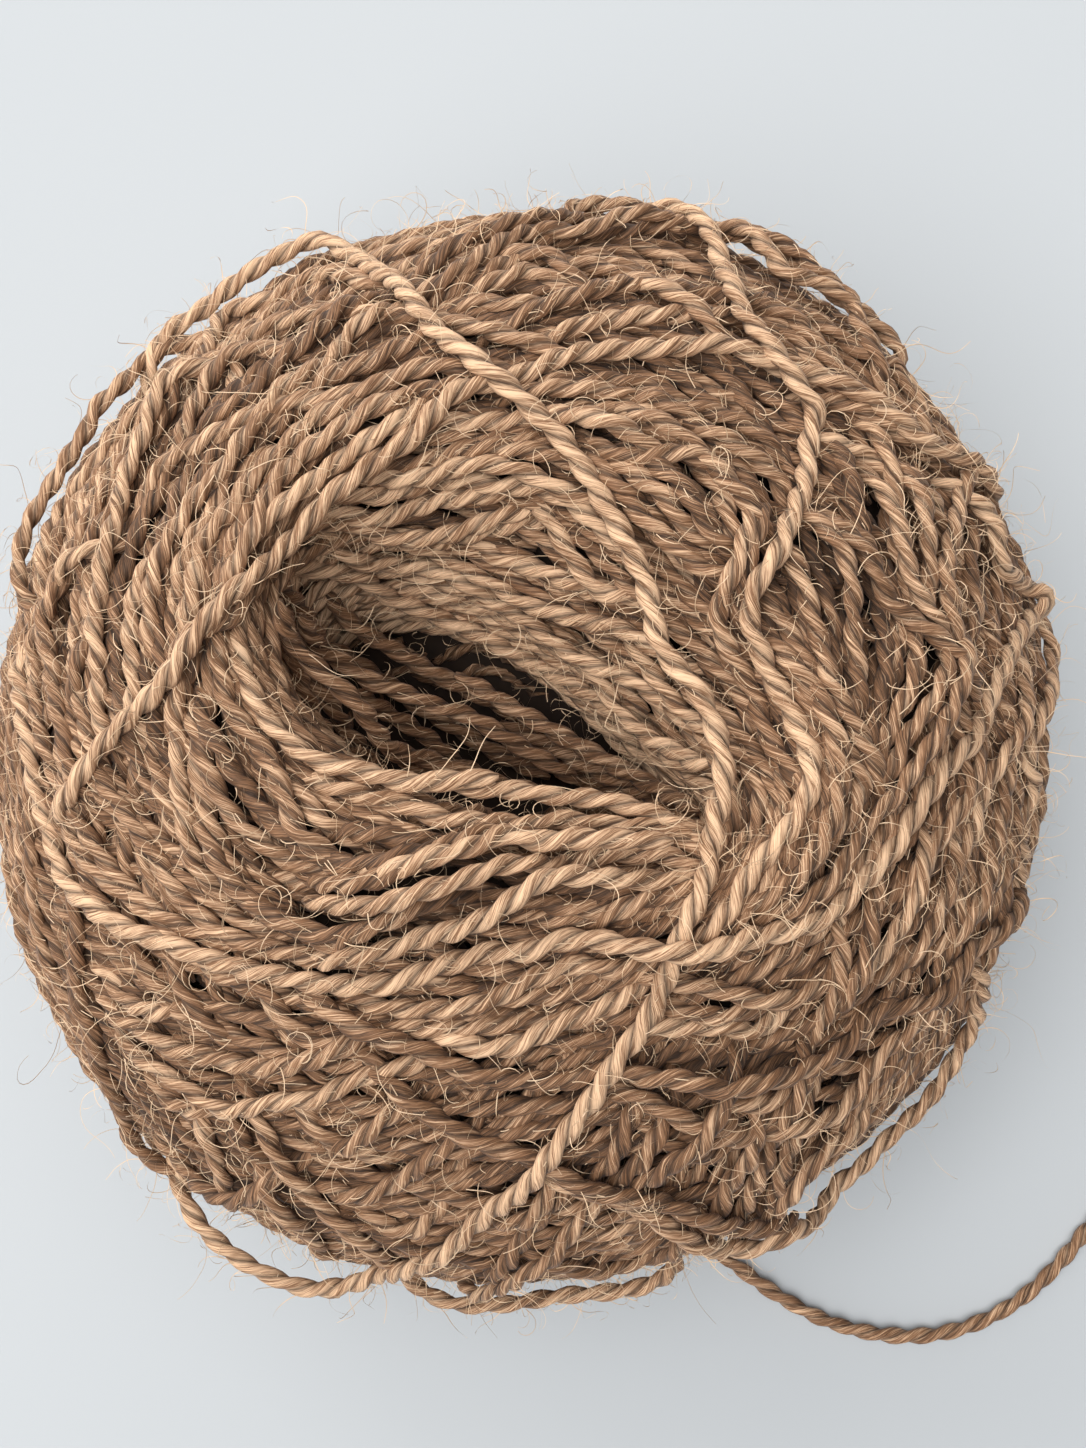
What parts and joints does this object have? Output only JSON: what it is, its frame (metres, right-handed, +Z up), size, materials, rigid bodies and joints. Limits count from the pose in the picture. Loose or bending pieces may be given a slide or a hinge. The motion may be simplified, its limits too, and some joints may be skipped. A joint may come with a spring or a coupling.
{
  "type": "ball of fingering yarn",
  "caption": "Hand-wound centre-pull ball of tan plied yarn with a slit of a centre hollow and a loose end lying beside it.",
  "frame": {"origin": "middle of the flat spot on which the ball rests, under the middle of its footprint", "axes": "+Z up, +X along the slit of the centre hollow, towards the side where the loose end lies"},
  "size_m": [0.1238, 0.0966, 0.0648],
  "materials": {
    "yarn": "dry, fuzzy two-ply bast yarn"
  },
  "bodies": {
    "root": {"ball": "yarn", "loose_end": "yarn"}
  },
  "joints": []
}
